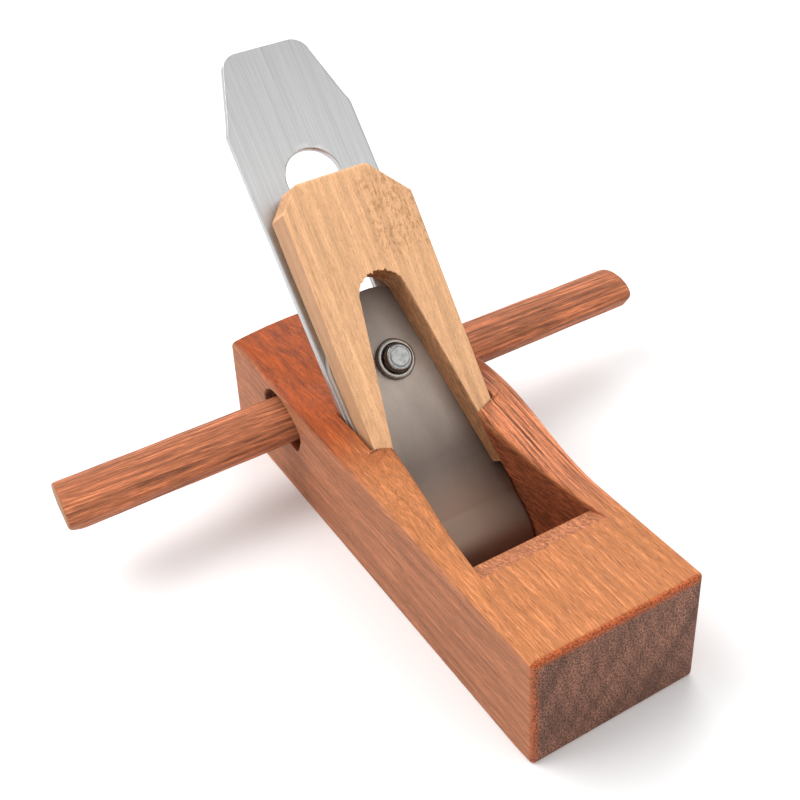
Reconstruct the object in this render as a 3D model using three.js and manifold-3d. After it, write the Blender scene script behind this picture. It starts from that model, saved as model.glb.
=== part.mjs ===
// A wooden push plane: a hump-backed hardwood stock, a crossbar handle pushed through it,
// and a bevel-down iron with its cap iron, held on a sloping bed by a slotted hardwood wedge.
// Millimetres, +Z up, +X towards the toe. The origin is the middle of the sole.

import * as THREE from "three";
import { ParametricGeometry } from "three/addons/geometries/ParametricGeometry.js";
import { mergeVertices } from "three/addons/utils/BufferGeometryUtils.js";
import Module from "manifold-3d";

const wasm = await Module();
wasm.setup();

const degrees = Math.PI / 180;

// ---- Driving dimensions ----

// Clearances
const contactGap = 0.3; // between two faces that bear on each other
const ironSideGap = 0.3; // on each side of the iron, in the stock
const wedgeSideGap = 0.8; // on each side of the wedge, in the stock
const slotGap = 0.5; // on each side of the cap screw, in the iron's slot

// Stock
const edgeToToe = 66.3; // from the cutting edge to the toe
const edgeToHeel = 119.7; // from the cutting edge to the heel
const cheekThickness = 6.2; // wood beside the iron
const toeHeight = 40.2;
const crestHeight = 50; // top of the hump, behind the iron
const heelHeight = 41.5;
const crestBehindEdge = 36.7;
const toeFlatLength = 44; // level stretch of the top, from the toe
const heelLean = 4.4; // how far the heel face leans in at its top
const arris = 0.8; // small bevel on the ends and along the sole
const toeCornerRadius = 1.5; // rounding between the top and the sides
const crestCornerRadius = 3;
const heelCornerRadius = 1.6;
const crestCrown = 1; // how much higher the middle of the top is than its sides
const heelCrown = 2.5;
const crestFlare = 2; // how far the sides sweep out under the crest
const flareFoot = 18; // height where the sweep starts

// Bed, mouth and throat
const bedAngle = 49.6 * degrees;
const mouthGap = 2.7; // ahead of the cutting edge, at the sole
const mouthLand = 4; // upright height of the mouth's front edge
const throatLength = 33.8; // from the cutting edge to the front of the throat, on top
const throatBevelRun = 7.5; // easing along the throat's front edge
const throatBevelDrop = 2.6;
const throatFrontInset = 0.9; // throat side to the mortise's side, at the front on top
const abutmentDepth = 7.1; // wood in front of each wedge leg, at the top
const abutmentFoot = 12; // height where the abutments run out into the mouth
const abutmentTopDrop = 3; // from the crest down to where the abutments are deepest
const grooveSideGap = 1.2; // round the screw's head, in the groove of the bed
const grooveFoot = 46; // lower end of the groove, up the bed from the edge

// Iron
const ironWidth = 44;
const ironThickness = 3;
const ironLength = 183.4;
const ironShoulder = 160; // where the sides start to slope in
const ironTopWidth = 28.6;
const ironCornerRadius = 5;
const ironShoulderEase = 1.2; // rounding where the sides start to slope in
const grindAngle = 25 * degrees;
const keyholeRadius = 9.5;
const keyholeHeight = 138.5; // up the iron from the cutting edge
const slotFoot = 58;

// Cap iron and its screw
const capSideStep = 0.2; // each side of the cap iron, in from the iron's
const capThickness = 2.5;
const capSetback = 1.1; // from the cutting edge to the cap iron's nose
const capShoulder = 76; // where the rounded top starts
const capTop = 99;
const capNoseRise = 1.9; // height of the bend above the flat
const capNoseLength = 21; // length of the bent stretch
const capSpring = 1.2; // hollow under the bend
const capBendSharpness = 1.5; // 1 for a plain wave, more for a bend with flatter feet
const capNoseRound = 0.45; // share of the bent stretch over which the nose grows to full thickness
const capNoseEdge = 0.02; // the nose's own thickness, as a share of that growth
const screwHeight = 75; // up the iron from the cutting edge
const screwRadius = 4.6;
const screwProud = 2.7; // how far the screw stands out of its collar
const screwChamfer = 0.8;
const headRadius = 8.5;
const headThickness = 4.5;
const driverSlotWidth = 1.6;
const driverSlotDepth = 1.6;
const collarWall = 1.5;
const collarHeight = 2.7;
const collarLip = 0.6; // small bevels on the collar

// Wedge, measured up its front face
const wedgeTaper = 3.5 * degrees;
const wedgeThickness = 15; // just below its top
const wedgeTop = 142.2;
const wedgeTip = 40;
const wedgeFarClip = 11.4; // corner cut off the top, on the +Y side
const wedgeNearClip = 7;
const clipSlope = 1.1; // height of a clipped corner over its width
const wedgeArchRadius = 8;
const wedgeArchHeight = 102;
const wedgeTipWidth = 3.27; // across each leg, at its tip

// Handle
const handleBehindEdge = 75.7;
const handleAxisHeight = 29.8; // height of its widest line
const handleNearEnd = -107;
const handleFarEnd = 114.5;
const handleNearWidth = 21.2;
const handleFarWidth = 19.8;
const handleNearRise = 6.9; // arched top above the widest line
const handleFarRise = 6.2;
const handleNearDrop = 6; // flat-sided underside below the widest line
const handleFarDrop = 5.5;
const handleFlat = 0.66; // width of the flat underside over the handle's width
const handleFlatEase = 0.14; // share of that flat taken by the easing at its two edges
const handleEndBevel = 1.6;
const handleFlare = 3; // easing round the handle's hole, at each side of the stock
const handleFlareDepth = 6;

// ---- Sizes worked out from them ----

const stockLength = edgeToToe + edgeToHeel;
const toeX = stockLength / 2;
const heelX = -stockLength / 2;
const edgeX = toeX - edgeToToe;
const crestX = edgeX - crestBehindEdge;
const rampX = toeX - toeFlatLength;
const capWidth = ironWidth - 2 * capSideStep;
const mortiseHalf = ironWidth / 2 + ironSideGap;
const stockHalf = mortiseHalf + cheekThickness;
const handleX = edgeX - handleBehindEdge;
const capUnderside = contactGap;
const capFace = capUnderside + capThickness;
const wedgeBack = capFace + contactGap;
const wedgeAngle = bedAngle + wedgeTaper;
const beyond = 40; // how far the long cutters run past what they cut
const over = 2; // how far the short cutters reach past the surface they open
const underSole = 1; // how far the mouth's cutters reach under the sole
const throatReach = 1.5; // how far the throat is cut back under the wedge

// ---- Frames and solids ----

// A frame on a slope that rises towards the heel: its X runs across, its Y up the slope
// and its Z out of it, and its origin is where the slope meets the sole.
function slopeFrame(x, angle) {
  const across = new THREE.Vector3(0, 1, 0);
  const up = new THREE.Vector3(-Math.cos(angle), 0, Math.sin(angle));
  const out = new THREE.Vector3(Math.sin(angle), 0, Math.cos(angle));
  return new THREE.Matrix4().makeBasis(across, up, out).setPosition(x, 0, 0);
}

const bedFrame = slopeFrame(edgeX, bedAngle);

// The wedge's front face: its distance from the iron is set just below the wedge's top.
const wedgeFront = (() => {
  const face = new THREE.Vector3(0, wedgeTop, wedgeBack + wedgeThickness).applyMatrix4(bedFrame);
  return slopeFrame(face.x + face.z / Math.tan(wedgeAngle), wedgeAngle);
})();

// A closed geometry as a solid that can be joined and cut.
function solid(geometry, frame = new THREE.Matrix4()) {
  const bare = geometry.clone().applyMatrix4(frame);
  bare.deleteAttribute("normal");
  bare.deleteAttribute("uv");
  const merged = mergeVertices(bare, 1e-4);
  const index = [];
  const old = merged.index.array;
  for (let i = 0; i < old.length; i += 3) {
    const [a, b, c] = [old[i], old[i + 1], old[i + 2]];
    if (a !== b && b !== c && c !== a) index.push(a, b, c);
  }
  return new wasm.Manifold(
    new wasm.Mesh({
      numProp: 3,
      vertProperties: merged.attributes.position.array,
      triVerts: new Uint32Array(index),
    }),
  );
}

function mesh(name, made, material) {
  const { vertProperties, triVerts } = made.getMesh();
  const geometry = new THREE.BufferGeometry();
  geometry.setAttribute("position", new THREE.BufferAttribute(vertProperties, 3));
  geometry.setIndex(new THREE.BufferAttribute(triVerts, 1));
  geometry.computeVertexNormals();
  const result = new THREE.Mesh(geometry, material);
  result.name = name;
  return result;
}

// A shape drawn on a slope's face and given a thickness from one height to another.
function plate(shape, low, high, frame, curveSegments = 12) {
  const settings = { depth: high - low, bevelEnabled: false, curveSegments };
  return solid(new THREE.ExtrudeGeometry(shape, settings).translate(0, 0, low), frame);
}

// A profile drawn in X and Z and carried across the plane, centred on its middle.
function across(points, width) {
  const shape = new THREE.Shape(points.map(([x, z]) => new THREE.Vector2(x, z)));
  const bar = new THREE.ExtrudeGeometry(shape, { depth: width, bevelEnabled: false });
  return bar.rotateX(Math.PI / 2).translate(0, width / 2, 0);
}

// A closed skin over a row of rings that all have the same number of points, which turn
// anticlockwise seen from the last ring. Each end is closed onto the middle of its own ring.
function loft(rings) {
  const middle = (ring) => ring[0].clone().add(ring[Math.floor(ring.length / 2)]).multiplyScalar(0.5);
  const rows = [
    rings[0].map(() => middle(rings[0])),
    ...rings,
    rings[0].map(() => middle(rings.at(-1))),
  ];
  const count = rings[0].length;
  const place = (u, v, target) => {
    const row = rows[Math.round(v * (rows.length - 1))];
    target.copy(row[Math.round(u * count) % count]);
  };
  return new ParametricGeometry(place, count, rows.length - 1);
}

const ease = (t) => (1 - Math.cos(Math.PI * THREE.MathUtils.clamp(t, 0, 1))) / 2;

// ---- Stock ----

// A size that has one value over the toe, one at the crest of the hump and one at the heel.
function alongStock(x, toe, crest, heel) {
  if (x > crestX) return THREE.MathUtils.lerp(crest, toe, ease((x - crestX) / (rampX - crestX)));
  return THREE.MathUtils.lerp(heel, crest, ease((x - heelX) / (crestX - heelX)));
}

// One cross-section: a flat sole, upright sides, rounded corners and a slightly crowned top.
function stockRing(x, inset) {
  const height = alongStock(x, toeHeight, crestHeight, heelHeight) - inset;
  const radius = alongStock(x, toeCornerRadius, crestCornerRadius, heelCornerRadius);
  const crown = alongStock(x, 0, crestCrown, heelCrown);
  const half = stockHalf - inset;
  const side = [
    [half - arris, inset],
    [half, inset + arris],
    [half, flareFoot],
  ];
  for (const share of [0.25, 0.5, 0.75]) {
    side.push([half, THREE.MathUtils.lerp(flareFoot, height - crown - radius, share)]);
  }
  const cornerSteps = 5;
  for (let i = 0; i <= cornerSteps; i++) {
    const turn = (i / cornerSteps) * (Math.PI / 2);
    const y = half - radius + radius * Math.cos(turn);
    side.push([y, height - crown - radius + radius * Math.sin(turn)]);
  }
  for (const share of [0.66, 0.33]) {
    const y = (half - radius) * share;
    side.push([y, height - crown * share * share]);
  }
  const near = side.map(([y, z]) => [-y, z]).reverse();
  const outline = [[0, inset], ...side, [0, height], ...near];
  const back = Math.max(0, (crestX - x) / (crestX - heelX));
  const flare = alongStock(x, 0, crestFlare, 0) / half;
  return outline.map(([y, z]) => {
    const lean = heelLean * (z / heelHeight) * back * back;
    const sweep = flare * ease((z - flareFoot) / (crestHeight - crestCornerRadius - flareFoot));
    return new THREE.Vector3(x + lean, y * (1 + sweep), z);
  });
}

function stockBlank() {
  const stations = 36;
  const rings = [stockRing(heelX, arris)];
  for (let i = 0; i <= stations; i++) {
    rings.push(stockRing(THREE.MathUtils.lerp(heelX + arris, toeX - arris, i / stations), 0));
  }
  rings.push(stockRing(toeX, arris));
  return solid(loft(rings));
}

// Where a slope stands over a given height.
const slopeX = (frame, angle, z) => frame.elements[12] - z / Math.tan(angle);
const abutmentX = (z) => slopeX(wedgeFront, wedgeAngle, z) + contactGap / Math.sin(wedgeAngle);
const bedX = (z) => edgeX - z / Math.tan(bedAngle) - (ironThickness + contactGap) / Math.sin(bedAngle);

// The throat's front wall: upright at the mouth, then a slope, then an easing on top.
const easingZ = toeHeight - throatBevelDrop;
function throatFrontX(z) {
  const mouthX = edgeX + mouthGap;
  const easingX = edgeX + throatLength - throatBevelRun;
  if (z <= mouthLand) return mouthX;
  if (z <= easingZ) {
    return THREE.MathUtils.lerp(mouthX, easingX, (z - mouthLand) / (easingZ - mouthLand));
  }
  return easingX + ((z - easingZ) / throatBevelDrop) * throatBevelRun;
}

// The slot for the iron and the wedge, full width, from the mouth out of the top.
function mortiseCutter() {
  const top = crestHeight + beyond;
  // The front wall leaves the mouth ahead of the abutment's line and meets it higher up.
  const wallRun = (throatFrontX(easingZ) - throatFrontX(mouthLand)) / (easingZ - mouthLand);
  const head = abutmentX(mouthLand) - throatFrontX(mouthLand);
  const meet = mouthLand + Math.max(0, head / (wallRun + 1 / Math.tan(wedgeAngle)));
  const points = [
    [bedX(-underSole), -underSole],
    [throatFrontX(-underSole), -underSole],
    [throatFrontX(mouthLand), mouthLand],
    [throatFrontX(meet), meet],
    [abutmentX(top), top],
    [bedX(top), top],
  ];
  return solid(across(points, 2 * mortiseHalf));
}

// The flaring space in front of the wedge, where the shavings come up.
function throatCutter() {
  const wallSteps = 8;
  const heights = [-underSole];
  for (let i = 0; i <= wallSteps; i++) {
    heights.push(THREE.MathUtils.lerp(mouthLand, easingZ, i / wallSteps));
  }
  const abutmentTop = crestHeight - abutmentTopDrop;
  heights.push(toeHeight, (toeHeight + abutmentTop) / 2, abutmentTop, crestHeight + over);
  const rings = heights.map((z) => {
    const rise = THREE.MathUtils.clamp((z - abutmentFoot) / (abutmentTop - abutmentFoot), 0, 1);
    const back = mortiseHalf - abutmentDepth * Math.sin((rise * Math.PI) / 2);
    const front = mortiseHalf - throatFrontInset * THREE.MathUtils.clamp(z / toeHeight, 0, 1);
    const frontX = throatFrontX(z);
    const backX = Math.min(abutmentX(z), frontX) - throatReach;
    return [
      [backX, 0],
      [backX, -back],
      [frontX, -front],
      [frontX, 0],
      [frontX, front],
      [backX, back],
    ].map(([x, y]) => new THREE.Vector3(x, y, z));
  });
  return solid(loft(rings));
}

// A groove down the bed, for the head of the cap iron's screw.
function grooveCutter() {
  const half = headRadius + grooveSideGap;
  const shape = new THREE.Shape();
  shape.absarc(0, grooveFoot + half, half, Math.PI, 0, false);
  const topEnd = (crestHeight + beyond) / Math.sin(bedAngle);
  shape.lineTo(half, topEnd);
  shape.lineTo(-half, topEnd);
  const depth = headThickness + contactGap + grooveSideGap;
  return plate(shape, -ironThickness - depth, contactGap - ironThickness, bedFrame);
}

// ---- Handle ----

// One cross-section: an arched top over an underside of three flats.
function handleRing(y, grow) {
  const along = (y - handleNearEnd) / (handleFarEnd - handleNearEnd);
  const half = THREE.MathUtils.lerp(handleNearWidth, handleFarWidth, along) / 2 + grow;
  const rise = THREE.MathUtils.lerp(handleNearRise, handleFarRise, along) + grow;
  const drop = THREE.MathUtils.lerp(handleNearDrop, handleFarDrop, along) + grow;
  const steps = 14;
  const ring = [];
  for (let i = 0; i <= steps; i++) {
    const turn = (i / steps) * Math.PI;
    ring.push([-half * Math.cos(turn), rise * Math.sin(turn)]);
  }
  const flat = half * handleFlat;
  const eased = flat * (1 - handleFlatEase);
  const lift = drop * (1 - handleFlatEase / 2);
  ring.push([flat, -lift], [eased, -drop], [-eased, -drop], [-flat, -lift]);
  return ring.map(([x, z]) => new THREE.Vector3(handleX + x, y, handleAxisHeight + z));
}

function handleSolid() {
  // Each end is rounded over in steps, as pairs of distance in from the end and inset.
  const bevel = [0, 0.3, 0.65, 1].map((share) => [
    handleEndBevel * share,
    handleEndBevel * (1 - Math.sqrt(share * (2 - share))),
  ]);
  const near = bevel.map(([along, inset]) => handleRing(handleNearEnd + along, -inset));
  const far = bevel.map(([along, inset]) => handleRing(handleFarEnd - along, -inset)).reverse();
  return solid(loft([...near, ...far]));
}

// The handle's hole follows the handle and opens out at each side of the stock.
function handleHoleCutter() {
  const steps = 4;
  const offsets = [];
  for (let i = 0; i <= steps; i++) {
    const inward = i / steps;
    const grow = handleFlare * (1 - Math.sqrt(1 - (1 - inward) ** 2));
    offsets.push([stockHalf - handleFlareDepth * inward, contactGap + grow]);
  }
  const outer = [stockHalf + over, contactGap + handleFlare];
  const near = [outer, ...offsets].map(([y, grow]) => handleRing(-y, grow));
  const far = [outer, ...offsets].map(([y, grow]) => handleRing(y, grow)).reverse();
  return solid(loft([...near, ...far]));
}

function stockSolid() {
  return stockBlank()
    .subtract(mortiseCutter())
    .subtract(throatCutter())
    .subtract(grooveCutter())
    .subtract(handleHoleCutter());
}

// ---- Iron ----

// The outline from above, with its keyhole slot.
function ironOutline() {
  const half = ironWidth / 2;
  const topHalf = ironTopWidth / 2;
  const shoulderRun = half - topHalf;
  const shoulderRise = ironLength - ironShoulder;
  const slopeLength = Math.hypot(shoulderRun, shoulderRise);
  const roundedX = topHalf + (shoulderRun * ironCornerRadius) / slopeLength;
  const roundedY = ironLength - (shoulderRise * ironCornerRadius) / slopeLength;
  const easeShare = ironShoulderEase / slopeLength;
  const easedX = half - shoulderRun * easeShare;
  const easedY = ironShoulder + shoulderRise * easeShare;
  const shape = new THREE.Shape();
  shape.moveTo(-half, 0);
  shape.lineTo(half, 0);
  shape.lineTo(half, ironShoulder - ironShoulderEase);
  shape.quadraticCurveTo(half, ironShoulder, easedX, easedY);
  shape.lineTo(roundedX, roundedY);
  shape.quadraticCurveTo(topHalf, ironLength, topHalf - ironCornerRadius, ironLength);
  shape.lineTo(ironCornerRadius - topHalf, ironLength);
  shape.quadraticCurveTo(-topHalf, ironLength, -roundedX, roundedY);
  shape.lineTo(-easedX, easedY);
  shape.quadraticCurveTo(-half, ironShoulder, -half, ironShoulder - ironShoulderEase);

  const slotHalf = screwRadius + slotGap;
  const meet = Math.asin(slotHalf / keyholeRadius);
  const keyhole = new THREE.Path();
  keyhole.absarc(0, keyholeHeight, keyholeRadius, -Math.PI / 2 + meet, (3 * Math.PI) / 2 - meet, false);
  keyhole.absarc(0, slotFoot + slotHalf, slotHalf, Math.PI, 2 * Math.PI, false);
  shape.holes.push(keyhole);
  return shape;
}

// The plate with its ground bevel underneath, meeting the face at the cutting edge.
function ironSolid() {
  const body = plate(ironOutline(), -ironThickness, 0, bedFrame, 16);
  const grind = new THREE.BoxGeometry(ironWidth + 2 * over, 2 * beyond, beyond);
  grind.translate(0, 0, -beyond / 2).rotateX(-grindAngle);
  return body.subtract(solid(grind, bedFrame));
}

// ---- Cap iron ----

// Its outline from above: square at the nose and rounded at the top.
function capOutline() {
  const half = capWidth / 2;
  const shape = new THREE.Shape();
  shape.moveTo(-half, 0);
  shape.lineTo(half, 0);
  shape.lineTo(half, capShoulder);
  shape.absellipse(0, capShoulder, half, capTop - capShoulder, 0, Math.PI, false, 0);
  return shape;
}

// Its side profile: flat, then bent up and down again so that only the nose touches.
function capProfile() {
  const start = capSetback;
  const span = capNoseLength;
  const under = [];
  const face = [];
  const steps = 10;
  for (let i = 0; i <= steps; i++) {
    const share = i / steps;
    const swell = Math.sin(Math.PI * share) ** capBendSharpness;
    const growth = Math.min(1, share / capNoseRound + capNoseEdge);
    const body = Math.sqrt(Math.sin((Math.PI / 2) * growth));
    under.push(new THREE.Vector2(start + span * share, capUnderside + capSpring * swell));
    const height = capUnderside + capThickness * body + capNoseRise * swell;
    face.push(new THREE.Vector2(start + span * share, height));
  }
  const back = capTop + over;
  return [
    ...under,
    new THREE.Vector2(back, capUnderside),
    new THREE.Vector2(back, capFace),
    ...face.reverse(),
  ];
}

function capIronSolid() {
  // The profile is drawn with its X up the iron and its Y out of it, then turned to run across.
  const bar = new THREE.ExtrudeGeometry(new THREE.Shape(capProfile()), {
    depth: capWidth,
    bevelEnabled: false,
  });
  const turn = new THREE.Matrix4().makeBasis(
    new THREE.Vector3(0, 1, 0),
    new THREE.Vector3(0, 0, 1),
    new THREE.Vector3(1, 0, 0),
  );
  bar.applyMatrix4(turn).translate(-capWidth / 2, 0, 0);
  const outline = plate(capOutline(), 0, beyond, bedFrame, 20);

  const bore = screwRadius + contactGap;
  const foot = bore + collarWall;
  const collar = [
    [0, capUnderside],
    [foot + collarLip, capUnderside],
    [foot + collarLip, capFace],
    [foot, capFace + collarLip],
    [foot, capFace + collarHeight - collarLip],
    [foot - collarLip, capFace + collarHeight],
    [0, capFace + collarHeight],
  ];
  const hole = new THREE.CylinderGeometry(bore, bore, 2 * beyond, 32);
  return solid(bar, bedFrame)
    .intersect(outline)
    .add(turned(collar))
    .subtract(solid(hole.rotateX(Math.PI / 2).translate(0, screwHeight, 0), bedFrame));
}

// A turned piece on the cap screw's axis, from pairs of radius and height off the iron.
function turned(profile) {
  const points = profile.map(([radius, height]) => new THREE.Vector2(radius, height));
  const body = new THREE.LatheGeometry(points, 32);
  return solid(body.rotateX(Math.PI / 2).translate(0, screwHeight, 0), bedFrame);
}

// ---- Cap screw ----

function capScrewSolid() {
  const under = -ironThickness - contactGap;
  const back = under - headThickness;
  const end = capFace + collarHeight + screwProud;
  const body = turned([
    [0, back],
    [headRadius - screwChamfer, back],
    [headRadius, back + screwChamfer],
    [headRadius, under],
    [screwRadius, under],
    [screwRadius, end - screwChamfer],
    [screwRadius - screwChamfer, end],
    [0, end],
  ]);
  const slot = new THREE.BoxGeometry(2 * (headRadius + over), driverSlotWidth, driverSlotDepth * 2);
  return body.subtract(solid(slot.translate(0, screwHeight, back), bedFrame));
}

// ---- Wedge ----

// Its outline on its front face: two legs that spread round the screw and the shavings,
// and a top with clipped corners.
function wedgeOutline() {
  const half = mortiseHalf - wedgeSideGap;
  const legInner = half - wedgeTipWidth;
  const shape = new THREE.Shape();
  shape.moveTo(half, wedgeTip);
  shape.lineTo(half, wedgeTop - wedgeFarClip * clipSlope);
  shape.lineTo(half - wedgeFarClip, wedgeTop);
  shape.lineTo(wedgeNearClip - half, wedgeTop);
  shape.lineTo(-half, wedgeTop - wedgeNearClip * clipSlope);
  shape.lineTo(-half, wedgeTip);
  shape.lineTo(-legInner, wedgeTip);
  shape.lineTo(-wedgeArchRadius, wedgeArchHeight);
  shape.absarc(0, wedgeArchHeight, wedgeArchRadius, Math.PI, 0, true);
  shape.lineTo(legInner, wedgeTip);
  return shape;
}

function wedgeSolid() {
  const blank = plate(wedgeOutline(), -2 * wedgeThickness, 0, wedgeFront, 16);
  const back = new THREE.BoxGeometry(4 * ironWidth, 2 * ironLength, 4 * beyond);
  return blank.intersect(solid(back.translate(0, ironLength / 2, wedgeBack + 2 * beyond), bedFrame));
}

// ---- Materials and assembly ----

const finish = (color, roughness, metalness) =>
  new THREE.MeshStandardMaterial({ color, roughness, metalness });

const stockWood = finish(0xc8763f, 0.5, 0);
const handleWood = finish(0xb9714b, 0.6, 0);
const wedgeWood = finish(0xe3b07a, 0.65, 0);
const brushedSteel = finish(0xc4c6c8, 0.35, 1);
const rawSteel = finish(0x8b8078, 0.5, 1);
const zincPlate = finish(0xd0d2d4, 0.25, 1);

const plane = new THREE.Group();
plane.add(
  mesh("stock", stockSolid(), stockWood),
  mesh("handle", handleSolid(), handleWood),
  mesh("wedge", wedgeSolid(), wedgeWood),
  mesh("iron", ironSolid(), brushedSteel),
  mesh("cap_iron", capIronSolid(), rawSteel),
  mesh("cap_screw", capScrewSolid(), zincPlate),
);

export default plane;
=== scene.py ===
"""A wooden push plane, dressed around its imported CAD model.

Run as a script: it loads the frame, registers its classes, makes every piece with its own
operator, sets the stage and finishes. Lengths inside the shape functions are millimetres in
the model's frame: +X towards the toe, +Y along the handle, +Z up from the sole.
"""

import math

import bmesh
import bpy
import numpy as np
from bpy.props import FloatProperty, FloatVectorProperty, PointerProperty
from mathutils import Matrix, Vector


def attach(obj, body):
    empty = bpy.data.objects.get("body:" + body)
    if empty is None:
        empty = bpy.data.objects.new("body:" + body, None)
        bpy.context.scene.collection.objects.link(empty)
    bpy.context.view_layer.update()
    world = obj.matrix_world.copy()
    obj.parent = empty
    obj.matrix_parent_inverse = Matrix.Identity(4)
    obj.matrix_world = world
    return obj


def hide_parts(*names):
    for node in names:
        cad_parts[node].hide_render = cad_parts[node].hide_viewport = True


bl_info = {
    "name": "Wooden Push Plane",
    "version": (1, 0, 0),
    "blender": (4, 5, 0),
    "location": "3D View > Sidebar > Push Plane",
    "description": "Makes a wooden push plane with its wedge, iron, cap iron and handle",
    "category": "Object",
}

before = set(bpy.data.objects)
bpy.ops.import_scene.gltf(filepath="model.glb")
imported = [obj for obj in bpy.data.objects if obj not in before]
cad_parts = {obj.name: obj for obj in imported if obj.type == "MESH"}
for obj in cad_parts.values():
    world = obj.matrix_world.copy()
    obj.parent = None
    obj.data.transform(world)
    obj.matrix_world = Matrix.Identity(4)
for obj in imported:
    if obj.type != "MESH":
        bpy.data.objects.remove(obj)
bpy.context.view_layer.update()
MM = 0.001

# ---- Sizes shared by the pieces, in millimetres ----

CLEARANCE = 0.3  # between pieces that touch on the real plane
TOE_X = 93.0
HEEL_X = -93.0
EDGE_X = 26.7  # the cutting edge, at the sole
CREST_X = -10.0
RAMP_X = 49.0  # where the level top of the toe begins
TOE_HIGH = 40.2
CREST_HIGH = 50.0
HEEL_HIGH = 41.5
HALF = 28.5  # half the stock's width
MORTISE_HALF = 22.3
NARROWS_Z = 12.0  # where the throat begins to narrow at its back
FRONT_X = 29.4  # the throat's front wall, upright as far as FRONT_Z
FRONT_Z = 4.0
SLOPE_X = 53.0  # where the front wall's slope ends
SLOPE_Z = 37.6
EASING_RUN = 7.5  # the flatter easing above the slope
EASING_RISE = 2.6
HANDLE_X = -49.0
HANDLE_Z = 29.8
HANDLE_NEAR = -107.0  # the handle's two ends
HANDLE_FAR = 114.5
BED_ANGLE = math.radians(49.6)
WEDGE_ANGLE = math.radians(53.1)
GRIND_ANGLE = math.radians(25)
IRON_THICK = 3.0
IRON_HALF = 22.0
CAP_UNDER = CLEARANCE
CAP_THICK = 2.5
CAP_FACE = CAP_UNDER + CAP_THICK
WEDGE_BACK = CAP_FACE + CLEARANCE
WEDGE_TIP = 40.0
WEDGE_TOP = 142.2
WEDGE_THICK = 15.0  # at its top
WEDGE_HALF = 21.5
FAR_CLIP = 129.66  # where the wedge's far and near top corners are clipped, and how steeply
NEAR_CLIP = 134.5
CLIP_SLOPE = 1.1
ARCH_S = 102.0  # the centre of the wedge's arch, up its front face
ARCH_RADIUS = 8.0
SCREW_S = 75.0  # the cap screw's place up the iron
SCREW_RADIUS = 4.6
AROUND = 72  # steps round the screw and its collar
HEAD_RADIUS = 8.5
HEAD_THICK = 4.5
HEAD_BACK = -IRON_THICK - CLEARANCE - HEAD_THICK
HOLE_RADIUS = 9.5  # the iron's keyhole: its round hole, and the slot below it
HOLE_S = 138.5
SLOT_RADIUS = 5.1
SLOT_FOOT_S = 63.1
CAP_HALF = 21.8
CAP_NOSE_S = 1.1  # how far the cap iron's nose stands back from the edge
CAP_BEND = 21.0  # the length of its bent nose
CAP_ROUND_S = 76.0  # where its round top begins, and how high it rises
CAP_ROUND_RISE = 23.0

# ---- The stage, in metres ----

FLOOR_HALF = 12.0
AIM = Vector((0.0, 0.0, 0.04))
LAMPS = (  # name, place, side and watts
    ("key", (-0.35, -0.55, 1.0), 0.8, 10.0),
    ("fill", (0.9, 0.3, 0.8), 0.9, 3.0),
    ("back", (-0.8, 0.6, 0.9), 0.8, 6.0),
)
LENS_MM = 54.64
CAMERA_PLACE = (0.2583, -0.1494, 0.2772)
CAMERA_TURNS = ((58.912, "Z"), (3.620, "Y"), (53.329, "X"))  # in degrees

# ---- Settings shared by the materials ----

ON_BED = (0.0, -BED_ANGLE, 0.0)  # turns the mapped X down the bed and the mapped Z out of it
RING_SCALE = 0.314 / 4.5  # growth rings 4.5 mm apart: one wave is 0.314 / scale long
STOCK_MARKS = ("coat", "throat", "hump", "wrap", "sawn", "band")
WEDGE_MARKS = ("torn", "picked")


# ---- Small tools ----


def linear(hex_colour):
    """An sRGB hex colour as linear red, green, blue and alpha."""
    parts = [int(hex_colour[i : i + 2], 16) / 255 for i in (1, 3, 5)]
    return [c / 12.92 if c <= 0.04045 else ((c + 0.055) / 1.055) ** 2.4 for c in parts] + [1.0]


def ease(t):
    """Half a cosine wave from 0 to 1."""
    return (1 - np.cos(np.pi * np.clip(t, 0, 1))) / 2


def smooth(t):
    """A cubic step from 0 to 1, level at both ends."""
    t = np.clip(t, 0, 1)
    return t * t * (3 - 2 * t)


def mix(a, b, t):
    """The value a share t of the way from a to b."""
    return a + (b - a) * t


def wobble(x, waves, seed):
    """A smooth random curve: a sum of sine waves with seeded phases and lengths, within -1 to 1."""
    random = np.random.default_rng(seed)
    total = np.zeros_like(x, dtype=float)
    for length in waves:
        total += np.sin(2 * np.pi * x / length + random.uniform(0, 2 * np.pi))
    return total / len(waves)


def bed(y, s, h):
    """Points given across the bed, up the bed and out of it, in the model's frame."""
    c, n = math.cos(BED_ANGLE), math.sin(BED_ANGLE)
    y, s, h = np.broadcast_arrays(y, s, h)
    return np.stack([EDGE_X - s * c + h * n, y, s * n + h * c], axis=-1)


def wedge_foot():
    """Where the wedge's front face would meet the sole."""
    face = bed(0.0, WEDGE_TOP, WEDGE_BACK + WEDGE_THICK)
    return face[0] + face[2] / math.tan(WEDGE_ANGLE)


def wedge_front(y, s, d):
    """Points across the wedge's front face, up it and out of it."""
    c, n = math.cos(WEDGE_ANGLE), math.sin(WEDGE_ANGLE)
    y, s, d = np.broadcast_arrays(y, s, d)
    return np.stack([wedge_foot() - s * c + d * n, y, s * n + d * c], axis=-1)


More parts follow.
